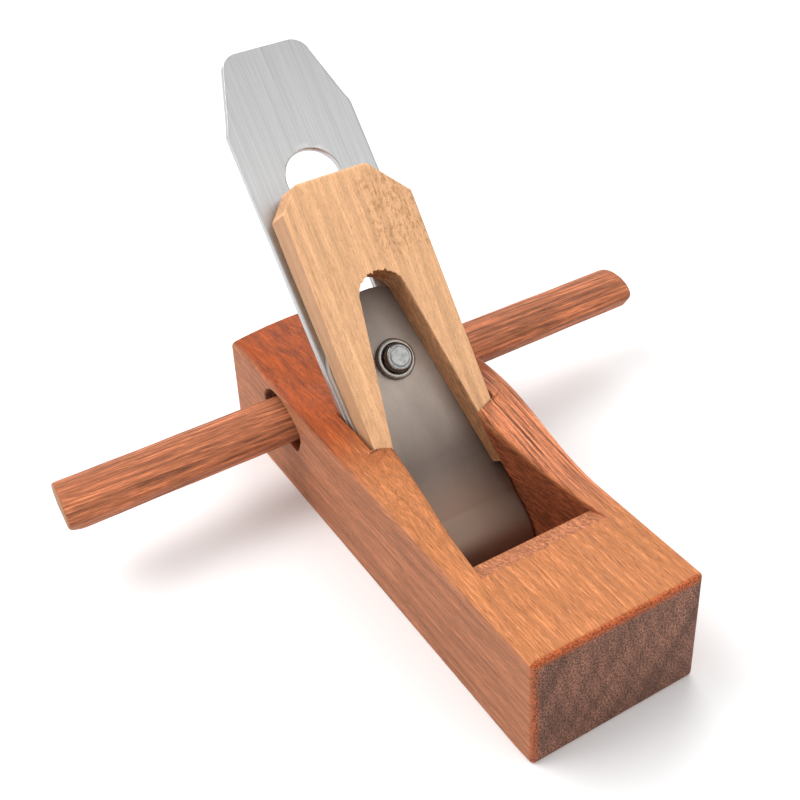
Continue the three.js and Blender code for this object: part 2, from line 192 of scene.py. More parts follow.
def surface(name, points, torus=False):
    """A closed mesh from rows of rings. Each row is a ring; the last row joins the first on a
    torus, and otherwise both end rows are closed onto their own middle point."""
    rows, cols = points.shape[:2]
    flat = points.reshape(-1, 3)
    ring = np.arange(cols)
    after = (ring + 1) % cols
    first = np.arange(rows if torus else rows - 1)
    second = (first + 1) % rows
    a = first[:, None] * cols + ring
    b = first[:, None] * cols + after
    c = second[:, None] * cols + after
    d = second[:, None] * cols + ring
    faces = np.stack([a, b, c, d], axis=-1).reshape(-1, 4).tolist()
    if not torus:
        flat = np.vstack([flat, points[0].mean(0), points[-1].mean(0)])
        low, high = rows * cols, rows * cols + 1
        last = (rows - 1) * cols
        faces += np.stack([after, ring, np.full(cols, low)], axis=-1).tolist()
        faces += np.stack([last + ring, last + after, np.full(cols, high)], axis=-1).tolist()
    mesh = bpy.data.meshes.new(name)
    mesh.from_pydata((flat * MM).tolist(), [], faces)
    made = bpy.data.objects.new(name, mesh)
    bpy.context.scene.collection.objects.link(made)
    tidy(made)
    return made


def tidy(made, sharp=35.0):
    """Merges doubled points, drops flat faces, turns the faces outwards and shades by angle."""
    shape = bmesh.new()
    shape.from_mesh(made.data)
    bmesh.ops.remove_doubles(shape, verts=shape.verts, dist=1e-6)
    bmesh.ops.dissolve_degenerate(shape, edges=shape.edges, dist=1e-7)
    bmesh.ops.recalc_face_normals(shape, faces=shape.faces)
    shape.to_mesh(made.data)
    shape.free()
    made.data.polygons.foreach_set("use_smooth", np.ones(len(made.data.polygons), bool))
    made.data.set_sharp_from_angle(angle=math.radians(sharp))
    made.data.update()


def cut(made, *cutters):
    """Cuts closed cutters out of a piece, then removes them."""
    for cutter in cutters:
        modifier = made.modifiers.new("cut", "BOOLEAN")
        modifier.operation = "DIFFERENCE"
        modifier.solver = "EXACT"
        modifier.object = cutter
        bpy.context.view_layer.objects.active = made
        bpy.ops.object.modifier_apply(modifier=modifier.name)
        bpy.data.objects.remove(cutter)
    tidy(made)


def paint(made, name, values):
    """Stores one number per point for the materials to read."""
    layer = made.data.attributes.get(name) or made.data.attributes.new(name, "FLOAT", "POINT")
    layer.data.foreach_set("value", np.asarray(values, np.float32))


def places(made):
    """Every point's place in millimetres and its normal."""
    count = len(made.data.vertices)
    co, normal = np.zeros(count * 3), np.zeros(count * 3)
    made.data.vertices.foreach_get("co", co)
    made.data.vertices.foreach_get("normal", normal)
    return co.reshape(-1, 3) / MM, normal.reshape(-1, 3)


def arc_corner(before, corner, after, steps):
    """Points on a quadratic curve from one row of points past a corner to another row."""
    t = np.linspace(0, 1, steps)[:, None, None]
    return (1 - t) ** 2 * before + 2 * t * (1 - t) * corner + t**2 * after


def between(start, end, steps):
    """Evenly spaced rows strictly between two rows of points."""
    t = (np.arange(1, steps + 1) / (steps + 1))[:, None, None]
    return start + (end - start) * t


# ---- Stock ----


def along_stock(x, toe, crest, heel):
    """A size eased from the heel to the crest and on to the level toe by half cosine waves."""
    front = mix(crest, toe, ease((x - CREST_X) / (RAMP_X - CREST_X)))
    back = mix(heel, crest, ease((x - HEEL_X) / (CREST_X - HEEL_X)))
    return np.where(x > CREST_X, front, back)


def stock_top(x, y):
    """Height of the top: the hump's profile, less a parabola across it, less a power curve
    that eases the near edge, less a hollow beside the throat that dies away to the front."""
    height = along_stock(x, TOE_HIGH, CREST_HIGH, HEEL_HIGH)
    height = height - along_stock(x, 0.0, 1.0, 2.5) * (y / HALF) ** 2
    width = along_stock(x, 2.0, 11.0, 3.0)
    near = np.clip((-y - (HALF - width)) / width, 0, 1)
    height = height - along_stock(x, 0.3, 5.5, 0.5) * near**2.2
    beside = np.clip((MORTISE_HALF - np.abs(y)) / 7.0, 0, 1)
    return height - 2.2 * beside * np.exp(-(((x - 5.0) / 16.0) ** 2)) * (x > -8)


def throat_front_x(z):
    """The throat's front wall: upright, then a straight slope, then the flatter easing."""
    slope = FRONT_X + (z - FRONT_Z) * ((SLOPE_X - FRONT_X) / (SLOPE_Z - FRONT_Z))
    easing = SLOPE_X + (z - SLOPE_Z) * (EASING_RUN / EASING_RISE)
    return np.where(z <= FRONT_Z, FRONT_X, np.where(z <= SLOPE_Z, slope, easing))


def abutment_x(z):
    """The abutments: the wedge's front face a clearance forward, kept behind the front wall."""
    line = wedge_foot() - z / math.tan(WEDGE_ANGLE) + CLEARANCE / math.sin(WEDGE_ANGLE)
    return np.minimum(line, throat_front_x(z) - 0.4)


def bed_x(z):
    """The bed: the iron's face, set back by the iron's thickness and a clearance."""
    return EDGE_X - z / math.tan(BED_ANGLE) - (IRON_THICK + CLEARANCE) / math.sin(BED_ANGLE)


def throat_back_half(z):
    """Half the throat's width at the abutments, narrowing upwards by a quarter sine wave."""
    rise = np.clip((z - NARROWS_Z) / 35.0, 0, 1)
    return MORTISE_HALF - 0.02 - 7.1 * np.sin(rise * np.pi / 2)


def throat_front_half(z):
    """Half the throat's width at its front wall, narrowing evenly upwards."""
    return MORTISE_HALF - 0.02 - 0.9 * np.clip(z / TOE_HIGH, 0, 1)


def opening(z, part, share):
    """The mortise and throat's outline at each height: eight straight parts, joined end to end
    anticlockwise from the near end of the front wall, and a share of the way along each."""
    fx, fy = throat_front_x(z), throat_front_half(z)
    ax, ay = abutment_x(z), throat_back_half(z)
    bx, side = bed_x(z), np.full_like(z, MORTISE_HALF)
    corners_x = np.stack([fx, fx, ax, ax, bx, bx, ax, ax, fx])
    corners_y = np.stack([-fy, fy, ay, side, side, -side, -side, -ay, -fy])
    column = np.arange(z.shape[-1])
    rows = np.arange(z.shape[0])[:, None]
    x = mix(corners_x[part, rows, column], corners_x[part + 1, rows, column], share)
    y = mix(corners_y[part, rows, column], corners_y[part + 1, rows, column], share)
    return x, y


def stock_outline(step, radius):
    """The outside outline from above, anticlockwise from the near toe corner, as points,
    inward normals, and which part of the opening each one faces and how far along it."""
    points, normals = [], []
    corners = [(TOE_X, -HALF), (TOE_X, HALF), (HEEL_X, HALF), (HEEL_X, -HALF)]
    inward = [(-1, 0), (0, -1), (1, 0), (0, 1)]
    for i in range(4):
        start, end = np.array(corners[i], float), np.array(corners[(i + 1) % 4], float)
        way = (end - start) / np.linalg.norm(end - start)
        count = int(np.linalg.norm(end - start) / step)
        span = end - start - 2 * way * radius
        points.append(start + way * radius + np.linspace(0, 1, count)[:, None] * span)
        normals.append(np.tile(np.array(inward[i], float), (count, 1)))
        turn = np.linspace(0, np.pi / 2, 7)[1:-1, None]
        n0, n1 = -np.array(inward[i], float), -np.array(inward[(i + 1) % 4], float)
        out = n0 * np.cos(turn) + n1 * np.sin(turn)
        points.append(end - radius * (n0 + n1) + radius * out)
        normals.append(-out)
    points, normals = np.vstack(points), np.vstack(normals)
    steps = np.linalg.norm(np.diff(points, axis=0, append=points[:1]), axis=1)
    length = np.concatenate([[0], np.cumsum(steps)])
    total = length[-1]
    length = length[:-1]
    toe = 2 * HALF  # the toe's length of the outline
    # How far along the outline each part of the opening starts: the front wall, the far side's
    # three parts, the back, and the near side's three.
    marks = np.array(
        [0, toe, toe + TOE_X - 8, toe + TOE_X - 2, toe + TOE_X + 30]
        + [total - (TOE_X + 30), total - (TOE_X - 2), total - (TOE_X - 8), total]
    )
    # The nearest point to each mark takes it exactly, so every inner corner has a column.
    for mark in marks[1:-1]:
        length[np.argmin(np.abs(length - mark))] = mark
    part = np.clip(np.searchsorted(marks, length, side="right") - 1, 0, 7)
    share = (length - marks[part]) / (marks[part + 1] - marks[part])
    return points, normals, part, share


def stock_grid(sizes):
    """A torus of rings: up the outside, over the rounded top edge, across the top, over the
    opening's edge, down the mortise to the mouth, and back out along the sole."""
    plan, inward, part, share = stock_outline(1.25, sizes.corner_rounding / MM)
    columns = len(plan)
    px, py = plan[:, 0], plan[:, 1]

    def on_top(x, y):
        return np.stack([x, y, stock_top(x, y)], axis=-1)[None]

    def outside(z):
        return np.stack([px, py, z * np.ones(columns)], axis=-1)[None]

    def wall(start, end, steps):
        t = np.arange(1, steps + 1)[:, None] / steps
        heights = np.broadcast_to(start + (end - start) * t, (steps, columns))
        x, y = opening(heights, part, share)
        return np.stack([x, y, heights], axis=-1)

    # The outside top edge is softer over the hump, most of all on the near side.
    toe_easing, hump_easing = sizes.toe_easing / MM, sizes.hump_easing / MM
    near_edge = along_stock(px, toe_easing, hump_easing, 0.7)
    edge = np.where(py < 0, near_edge, along_stock(px, toe_easing, 0.5 * hump_easing, 0.7))
    top_z = stock_top(px, py)
    inner = plan + inward * edge[:, None]
    corner = outside(top_z)
    rim_end = on_top(inner[:, 0], inner[:, 1])

    # The opening's own top edge: where each wall's line meets the top.
    z = np.full((1, columns), 45.0)
    for _ in range(40):
        x, y = opening(z, part, share)
        z = 0.5 * z + 0.5 * stock_top(x, y)
    x, y = opening(z, part, share)
    lip = np.stack([x, y, z], axis=-1)
    soft = np.array([0.5, 2.2, 0.5, 0.9, 0.5, 0.9, 0.5, 2.2])[part]
    fade = np.where(part == 1, share, np.where(part == 7, 1 - share, 1.0))
    soft = np.where((part == 1) | (part == 7), 0.5 + soft * smooth(fade), soft)[None]
    ways = [(1, 0), (0.25, 0.97), (1, 0), (0, 1), (-1, 0), (0, -1), (1, 0), (0.25, -0.97)]
    outward = np.array(ways)[part]
    qx, qy = x + outward[:, 0] * soft, y + outward[:, 1] * soft
    lip_start = np.stack([qx, qy, stock_top(qx, qy)], axis=-1)
    z_low = z - soft
    lx, ly = opening(z_low, part, share)
    lip_end = np.stack([lx, ly, z_low], axis=-1)

    # The sole's edge is rounded over, most of all round the toe.
    foot = sizes.sole_rounding / MM + 1.0 * smooth((px - 84.0) / 8.0)
    level = np.append(inward, np.zeros((columns, 1)), axis=1)
    sole_edge = outside(0.0) + level[None] * foot[:, None]
    stretches = (
        (z_low, SLOPE_Z, 8),
        (SLOPE_Z, NARROWS_Z, 22),
        (NARROWS_Z, FRONT_Z, 8),
        (FRONT_Z, 0.0, 4),
    )
    mouth = np.vstack([wall(*stretch) for stretch in stretches])
    below_rim = outside(top_z - edge)
    rows = np.vstack(
        [
            arc_corner(sole_edge, outside(0.0), outside(foot), 6),
            between(outside(foot), below_rim, 20),
            arc_corner(below_rim, corner, rim_end, 7),
            between(rim_end, lip_start, 34),
            arc_corner(lip_start, lip, lip_end, 6),
            mouth,
            between(mouth[-1:], sole_edge, 8),
        ]
    )
    # The sides sweep out under the crest, and the heel leans in towards its top.
    x, y, z = rows[..., 0], rows[..., 1], rows[..., 2]
    cheek = np.clip((np.abs(y) - MORTISE_HALF) / (HALF - MORTISE_HALF), 0, 1)
    sweep = along_stock(x, 0.0, 2.0, 0.0) * ease((z - 18.0) / 29.0)
    back = np.clip((CREST_X - x) / (CREST_X - HEEL_X), 0, 1)
    rows = rows.copy()
    rows[..., 1] = y + np.sign(y) * cheek * sweep
    rows[..., 0] = x + 4.4 * (z / HEEL_HIGH) * back**2
    return rows


def handle_profile(half, rise, drop, points):
    """An arched half ellipse over three flats, each corner rounded by averaging neighbours."""
    turn = np.linspace(np.pi, 0, points)
    arch = np.stack([half * np.cos(turn), rise * np.sin(turn)], axis=-1)
    flats = np.array([(half, 0), (half * 0.66, -drop * 0.93), (half * 0.57, -drop)])
    flats = np.vstack([flats, flats[::-1] * [-1, 1]])
    under = []
    for a, b, steps in zip(flats[:-1], flats[1:], (10, 3, 16, 3, 10)):
        under.append(a + np.linspace(0, 1, steps, endpoint=False)[1:, None] * (b - a))
        under.append(b[None])
    ring = np.vstack([arch] + under)[:-1]
    for _ in range(3):
        ring = 0.5 * ring + 0.25 * (np.roll(ring, 1, axis=0) + np.roll(ring, -1, axis=0))
    return ring


def handle_half_sizes(y):
    """Half the handle's width, its rise and its drop, each tapering evenly to the far end."""
    share = (y - HANDLE_NEAR) / (HANDLE_FAR - HANDLE_NEAR)
    return mix(10.6, 9.9, share), mix(6.9, 6.2, share), mix(6.0, 5.5, share)


def hole_cutter():
    """The handle's profile, a little larger, opened out at each side by a cube curve."""
    depth = np.array([-4.0, 0.0, 0.2, 0.5, 1.0, 2.0, 3.5, 5.0, 6.5, 7.5, 8.2, 8.6])
    flare = 1 - np.clip(depth / depth[-1], 0, 1) ** 3
    grow = CLEARANCE + 2.8 * flare + 0.4 * np.clip(1 - depth / 0.6, 0, 1) ** 2
    near = [(-(HALF + 0.2) + d, g) for d, g in zip(depth, grow)]
    middle = [(y, CLEARANCE) for y in np.linspace(-18, 18, 10)]
    far = [(-y, g) for y, g in near[::-1]]
    rings = []
    for y, extra in near + middle + far:
        half, rise, drop = handle_half_sizes(y)
        ring = handle_profile(half + extra, rise + extra, drop + extra, 48)
        x, z = HANDLE_X + ring[:, 0], HANDLE_Z + ring[:, 1]
        rings.append(np.column_stack([x, np.full(len(ring), y), z]))
    return surface("hole_cutter", np.array(rings))


def groove_cutter():
    """A round-ended trough down the bed, a little wider than the screw's head."""
    half, foot, past_top = HEAD_RADIUS + 1.2, 46.0, 200.0
    turn = np.linspace(np.pi, 2 * np.pi, 33)
    y = np.concatenate([half * np.cos(turn), [half, -half]])
    s = np.concatenate([foot + half + half * np.sin(turn), [past_top, past_top]])
    rings = [bed(y, s, np.full_like(y, h)) for h in (-9.0, -7.0, -5.0, -2.0)]
    return surface("groove_cutter", np.array(rings))


def dress_stock(made):
    """Marks, for the wood to read: the oiled top, the oil that ran over the toe's edges, the far
    shoulder sawn and scraped, painted shade down in the throat, and the pale cut along its front
    edge, brightened by a painted highlight."""
    co, normal = places(made)
    x, y, z = co.T
    line = along_stock(x, 39.3, 42.4, 39.5) + 0.3 * wobble(x, (31.0, 13.0, 5.3), 4)
    outer = np.abs(y) > HALF - 1.5
    coat = np.where(outer, smooth((z - line + 0.5) / 1.0), smooth((normal[:, 2] - 0.1) / 0.5))
    inside = (np.abs(y) < MORTISE_HALF + 0.2) & (x > -40) & (x < 62)
    under = stock_top(x, y) - z
    # Painted shade: the wood is painted darker from just under the throat's top edge downwards.
    throat = np.where(inside, smooth((under - 0.8) / 3.0), 0.0)
    coat = np.where(inside, 1 - throat, coat) * (z > 5)
    toe_face = smooth((x - TOE_X + 1.4) / 0.6)
    ragged = 0.6 * wobble(y, (9.0, 4.1, 1.9, 0.8), 7)
    wrap = toe_face * smooth((z - 38.3 - ragged) / 0.9)
    strip = toe_face * smooth((-y - 26.2 + 0.5 * wobble(z, (11.0, 5.0, 1.7), 3)) / 1.0) * 0.6
    shoulder = smooth((y - 6.0) / 8.0) * smooth((x + 12.0) / 8.0) * smooth((66.0 - x) / 26.0)
    sawn = shoulder * (z > 30) * smooth((normal[:, 2] - 0.2) / 0.4) * (1 - throat)
    # The pale band along the throat's front edge: bare cut wood with a painted highlight on it.
    edge = smooth((under - 0.05) / 0.25) * smooth((z - 37.5) / 0.3) * smooth((x - 49.0) / 2.0)
    paint(made, "coat", coat)
    paint(made, "throat", throat * (1 - inside * edge))
    paint(made, "hump", smooth((20.0 - x) / 40.0))
    paint(made, "wrap", np.maximum(wrap, strip))
    paint(made, "sawn", sawn)
    paint(made, "band", inside * edge)


# ---- Materials ----


def node(tree, kind, inputs=(), out=0, stops=(), **settings):
    """Adds a shader node with its settings, its inputs' values or links and its ramp's stops, and
    returns one of its outputs."""
    made = tree.nodes.new("ShaderNode" + kind)
    for name, value in settings.items():
        setattr(made, name, value)
    for key, value in dict(inputs).items():
        if isinstance(value, bpy.types.NodeSocket):
            tree.links.new(value, made.inputs[key])
        else:
            made.inputs[key].default_value = value
    if stops:
        elements = made.color_ramp.elements
        while len(elements) < len(stops):
            elements.new(0.5)
        for element, (position, value) in zip(elements, stops):
            element.position = position
            element.color = value
    return made.outputs[out]


def blank_material(name):
    """A new material, its node tree and its shader."""
    material = bpy.data.materials.new(name)
    material.use_nodes = True
    return material, material.node_tree, material.node_tree.nodes["Principled BSDF"]


def tones(colour, *stops):
    """A ramp's stops in shades of one linear colour, from pairs of place and brightness."""
    return [(place, [min(1.0, c * bright) for c in colour[:3]] + [1.0]) for place, bright in stops]


def facing(tree, axis):
    """How squarely the surface faces along one axis, either way, from 0 to 1."""
    normal = node(tree, "TexCoord", out="Normal")
    along = node(tree, "SeparateXYZ", {0: normal}, axis)
    return node(tree, "Math", {0: along}, operation="ABSOLUTE")


def millimetres(tree, turn=(0.0, 0.0, 0.0)):
    """The place on the piece in millimetres, turned so that X runs along the fibres or the bed."""
    place = node(tree, "TexCoord", out="Object")
    return node(tree, "Mapping", {"Vector": place, "Rotation": turn, "Scale": (1 / MM,) * 3})


def stretched_noise(tree, place, per_mm, detail, roughness):
    """Noise over a place in millimetres, with its own count of waves a millimetre on each axis."""
    stretched = node(tree, "VectorMath", {0: place, 1: per_mm}, operation="MULTIPLY")
    inputs = {"Vector": stretched, "Scale": 1.0, "Detail": detail, "Roughness": roughness}
    return node(tree, "TexNoise", inputs)


def speckle(tree, size):
    """Salt-and-pepper specks of open pores on end grain, of a size in millimetres. Real pores are
    nearer 0.2 mm, and are drawn coarser so that they show."""
    spots = stretched_noise(tree, millimetres(tree), (1 / size,) * 3, 2.0, 0.8)
    return node(tree, "MapRange", {0: spots, 1: 0.41, 2: 0.59, 3: 0.0, 4: 1.0})


def grain(tree, turn, heart, wander=4.0, pore=(6.0, 0.55)):
    """Solid wood figure in millimetres, with the fibres along the mapped X: broad streaks, fine
    lines, pores of a length and a spacing, and growth rings about the line through heart.
    Returns the four patterns, each 0 to 1."""
    place = millimetres(tree, turn)
    slow = node(tree, "VectorMath", {0: place, 1: (0.2, 1.0, 1.0)}, operation="MULTIPLY")
    drift = node(tree, "TexNoise", {"Vector": slow, "Scale": 0.06, "Detail": 3.0}, "Color")
    drift = node(tree, "VectorMath", {0: drift, 1: (0.5, 0.5, 0.5)}, operation="SUBTRACT")
    drift = node(tree, "VectorMath", {0: drift, 1: (0.0, wander, wander)}, operation="MULTIPLY")
    place = node(tree, "VectorMath", {0: place, 1: drift}, operation="ADD")
    streak = stretched_noise(tree, place, (0.012, 0.5, 0.5), 6.0, 0.7)
    lines = stretched_noise(tree, place, (0.08, 1.5, 1.5), 4.0, 0.85)
    lines = node(tree, "MapRange", {0: lines, 1: 0.41, 2: 0.59, 3: 0.0, 4: 1.0})
    per_pore = (1 / pore[0], 1 / pore[1], 1 / pore[1])
    cells = node(tree, "VectorMath", {0: place, 1: per_pore}, operation="MULTIPLY")
    cell = node(tree, "TexVoronoi", {"Vector": cells, "Scale": 1.0})
    pores = node(tree, "MapRange", {0: cell, 1: 0.12, 2: 0.34, 3: 1.0, 4: 0.0})
    across = node(tree, "VectorMath", {0: place, 1: (0.02, 1.0, 1.0)}, operation="MULTIPLY")
    across = node(tree, "VectorMath", {0: across, 1: (0.0, *heart)}, operation="SUBTRACT")
    waves = {"Vector": across, "Scale": RING_SCALE, "Distortion": 5.0, "Detail": 3.0}
    waves["Detail Scale"] = 0.3
    ring = node(tree, "TexWave", waves, "Fac", wave_type="RINGS", rings_direction="X")
    return streak, lines, pores, ring


def shade_by(tree, colour, pattern, low, high, start=0.0, end=1.0):
    """A colour times low where the pattern is at its start, and times high at its end."""
    amount = node(tree, "MapRange", {0: pattern, 1: start, 2: end, 3: low, 4: high})
    inputs = {0: 1.0, 6: colour, 7: amount}
    return node(tree, "Mix", inputs, 2, data_type="RGBA", blend_type="MULTIPLY")


def pored(tree, colour, pores, share, dark):
    """A colour that goes over to a dark one, by a share, in the pores."""
    amount = node(tree, "Math", {0: pores, 1: share}, operation="MULTIPLY")
    return node(tree, "Mix", {0: amount, 6: colour, 7: dark}, 2, data_type="RGBA")


def bumped(tree, shader, pores, lines, depth):
    """Sinks the pores and lifts the lines: a height in metres, bumped onto the shader."""
    low = node(tree, "Math", {0: pores, 1: -0.6}, operation="MULTIPLY")
    height = node(tree, "Math", {0: lines, 1: low}, operation="ADD")
    normal = node(tree, "Bump", {"Strength": 0.7, "Distance": depth, "Height": height})
    tree.links.new(normal, shader.inputs["Normal"])


def stock_wood(colours):
    """Tropical hardwood: planed faces, an orange oiled top, and dark end grain at both ends,
    where the pores show as specks between slanting growth rings."""
    material, tree, shader = blank_material("oiled_tropical_hardwood")
    streak, lines, pores, ring = grain(tree, (0.0, 0.0, 0.0), (80.0, 50.0), 5.0)
    coat, throat, hump, wrap, sawn, band = (
        node(tree, "Attribute", out="Fac", attribute_name=name) for name in STOCK_MARKS
    )
    planed = tones(colours.stock_side, (0.34, 0.76), (0.5, 1.0), (0.66, 1.2))
    oiled_toe = tones(colours.stock_top, (0.34, 0.86), (0.5, 1.0), (0.66, 1.1))
    oiled_rear = tones(colours.stock_rear, (0.36, 0.55), (0.5, 0.95), (0.64, 1.2))
    side, toe, rear = (
        node(tree, "ValToRGB", {0: streak}, stops=stops) for stops in (planed, oiled_toe, oiled_rear)
    )
    top = node(tree, "Mix", {0: hump, 6: toe, 7: rear}, 2, data_type="RGBA")
    colour = node(tree, "Mix", {0: coat, 6: side, 7: top}, 2, data_type="RGBA")
    colour = shade_by(tree, colour, lines, 0.76, 1.16)
    # Painted shade: deep in the throat the wood takes a darker, redder colour.
    hollow = tones(colours.throat, (0.1, 0.5), (0.5, 1.0), (0.9, 1.5))
    hollow = node(tree, "ValToRGB", {0: lines}, stops=hollow)
    # The far shoulder is sawn along the grain: pale torn fibres stand between red-brown lines.
    rip = stretched_noise(tree, millimetres(tree), (0.035, 1.5, 0.06), 4.0, 0.75)
    torn = tones(linear("#CE7E55"), (0.4, 0.26), (0.47, 0.7), (0.54, 1.05), (0.62, 1.6))
    torn = node(tree, "ValToRGB", {0: rip}, stops=torn)
    for share, over in ((throat, hollow), (sawn, torn)):
        colour = node(tree, "Mix", {0: share, 6: colour, 7: over}, 2, data_type="RGBA")
    colour = shade_by(tree, colour, ring, 0.94, 1.03)
    colour = pored(tree, colour, pores, 0.42, linear("#6A3018"))

    # End grain shows wherever the surface faces along the fibres, mottled in broad bands.
    specks = speckle(tree, 0.62)
    squarely = node(tree, "MapRange", {0: facing(tree, "X"), 1: 0.72, 2: 0.9, 3: 0.0, 4: 1.0})
    ends = node(tree, "Math", {0: squarely, 1: throat}, operation="SUBTRACT", use_clamp=True)
    end_tones = tones(colours.end_grain, (0.05, 0.88), (0.4, 1.0), (0.9, 1.08))
    end_colour = node(tree, "ValToRGB", {0: ring}, stops=end_tones)
    cloud = stretched_noise(tree, millimetres(tree, (0.5, 0.0, 0.0)), (0.05, 0.16, 0.05), 3.0, 0.6)
    end_colour = shade_by(tree, end_colour, cloud, 0.68, 1.22, 0.35, 0.65)
    end_colour = shade_by(tree, end_colour, specks, 0.28, 1.7)
    # Oil that ran over the toe's edges, and the pale cut along the throat's front edge, brightened by a
    # painted highlight.
    run = node(tree, "ValToRGB", {0: specks}, stops=tones(linear("#C8622E"), (0.1, 0.4), (0.8, 1.1)))
    pale = tones(colours.stock_side, (0.1, 0.7), (0.5, 1.1), (0.9, 1.5))
    pale = node(tree, "ValToRGB", {0: lines}, stops=pale)
    for share, over in ((ends, end_colour), (wrap, run), (band, pale)):
        colour = node(tree, "Mix", {0: share, 6: colour, 7: over}, 2, data_type="RGBA")
    tree.links.new(colour, shader.inputs["Base Color"])
    sheen = node(tree, "MapRange", {0: coat, 1: 0.0, 2: 1.0, 3: 0.62, 4: 0.42})
    tree.links.new(sheen, shader.inputs["Roughness"])
    shader.inputs["Specular IOR Level"].default_value = 0.28
    bumped(tree, shader, pores, lines, 0.00022)
    return material


def handle_wood(colours):
    """The same timber left bare and scraped: darker streaks, open pores, paler sawn ends."""
    material, tree, shader = blank_material("bare_scraped_hardwood")
    turn = (0.0, 0.05, -math.pi / 2 + 0.03)
    _, lines, pores, ring = grain(tree, turn, (30.0, 60.0), 2.5, (9.0, 0.7))
    rip = stretched_noise(tree, millimetres(tree, turn), (0.03, 0.95, 0.95), 4.0, 0.75)
    scraped = tones(colours.handle, (0.38, 0.5), (0.47, 0.88), (0.55, 1.1), (0.65, 1.7))
    colour = node(tree, "ValToRGB", {0: rip}, stops=scraped)
    colour = shade_by(tree, colour, lines, 0.74, 1.16)
    colour = shade_by(tree, colour, ring, 0.88, 1.04)
    colour = pored(tree, colour, pores, 0.4, linear("#4F2819"))
    ends = node(tree, "MapRange", {0: facing(tree, "Y"), 1: 0.6, 2: 0.9, 3: 0.0, 4: 0.9})
    sawn = tones(linear("#B88A66"), (0.2, 0.75), (0.8, 1.15))
    sawn = node(tree, "ValToRGB", {0: speckle(tree, 0.4)}, stops=sawn)
    colour = node(tree, "Mix", {0: ends, 6: colour, 7: sawn}, 2, data_type="RGBA")
    tree.links.new(colour, shader.inputs["Base Color"])
    shader.inputs["Roughness"].default_value = 0.6
    shader.inputs["Specular IOR Level"].default_value = 0.3
    bumped(tree, shader, pores, lines, 0.0003)
    return material


def wedge_wood(colours):
    """Pale bare hardwood, sawn and planed: short brown flecks, a patch of picked-up grain near
    the top, sides darkened by painted shade, and torn grain in the arch and on the slot's walls,
    painted darker partly as painted shade."""
    material, tree, shader = blank_material("pale_planed_hardwood")
    turn = (0.0, -WEDGE_ANGLE, 0.0)
    streak, lines, pores, ring = grain(tree, turn, (90.0, 40.0), 4.0, (4.0, 0.6))
    torn, picked = (node(tree, "Attribute", out="Fac", attribute_name=name) for name in WEDGE_MARKS)
    planed = tones(colours.wedge, (0.34, 0.84), (0.5, 1.0), (0.66, 1.1))
    colour = node(tree, "ValToRGB", {0: streak}, stops=planed)
    colour = shade_by(tree, colour, lines, 0.88, 1.06)
    colour = shade_by(tree, colour, speckle(tree, 0.5), 0.93, 1.04)
    colour = shade_by(tree, colour, ring, 0.94, 1.03)
    pits = stretched_noise(tree, millimetres(tree, turn), (0.55, 1.1, 1.1), 4.0, 0.7)
    pits = node(tree, "MapRange", {0: pits, 1: 0.5, 2: 0.6, 3: 0.0, 4: 1.0})
    patch = node(tree, "Math", {0: pits, 1: picked}, operation="MULTIPLY")
    colour = pored(tree, colour, patch, 0.55, linear("#B0723F"))
    # Painted shade: faces turned along Y, the wedge's sides, are painted darker.
    side = node(tree, "MapRange", {0: facing(tree, "Y"), 1: 0.7, 2: 0.95, 3: 0.0, 4: 0.5})
    # Torn grain in the arch and on the slot's walls, painted darker, partly as painted shade.
    walls = tones(linear("#B2774A"), (0.05, 0.34), (0.5, 0.95), (0.95, 1.6))
    walls = node(tree, "ValToRGB", {0: lines}, stops=walls)
    for share, over in ((side, linear("#8A6044")), (torn, walls)):
        colour = node(tree, "Mix", {0: share, 6: colour, 7: over}, 2, data_type="RGBA")
    colour = pored(tree, colour, pores, 0.3, linear("#A0683C"))
    tree.links.new(colour, shader.inputs["Base Color"])
    shader.inputs["Roughness"].default_value = 0.62
    shader.inputs["Specular IOR Level"].default_value = 0.35
    deep = node(tree, "Math", {0: patch, 1: pores}, operation="ADD")
    bumped(tree, shader, deep, lines, 0.00022)
    return material


def worked_metal(name, colour, per_mm, roughness, contrast, depth):
    """A bare metal whose finish is one noise stretched along the tool marks: it varies the
    colour and the roughness, and its height in metres is bumped on."""
    material, tree, shader = blank_material(name)
    marks = stretched_noise(tree, millimetres(tree, ON_BED), per_mm, 5.0, 0.7)
    shades = tones(colour, (0.3, 1 - contrast), (0.5, 1.0), (0.7, 1 + contrast * 0.8))
    tone = node(tree, "ValToRGB", {0: marks}, stops=shades)
    tree.links.new(tone, shader.inputs["Base Color"])
    dull = {0: marks, 1: 0.3, 2: 0.7, 3: roughness, 4: roughness + 0.12}
    tree.links.new(node(tree, "MapRange", dull), shader.inputs["Roughness"])
    shader.inputs["Metallic"].default_value = 1.0
    normal = node(tree, "Bump", {"Strength": 0.3, "Distance": depth, "Height": marks})
    tree.links.new(normal, shader.inputs["Normal"])
    return material, tree, shader, tone


def iron_steel(colours):
    """Tool steel ground lengthwise on a belt: a bright face with parallel scratches, drawn 0.2 mm
    apart, coarser than real ones, so that they show."""
    return worked_metal("belt_ground_tool_steel", colours.iron, (0.02, 4.5, 1.0), 0.34, 0.24, 0.00008)[0]


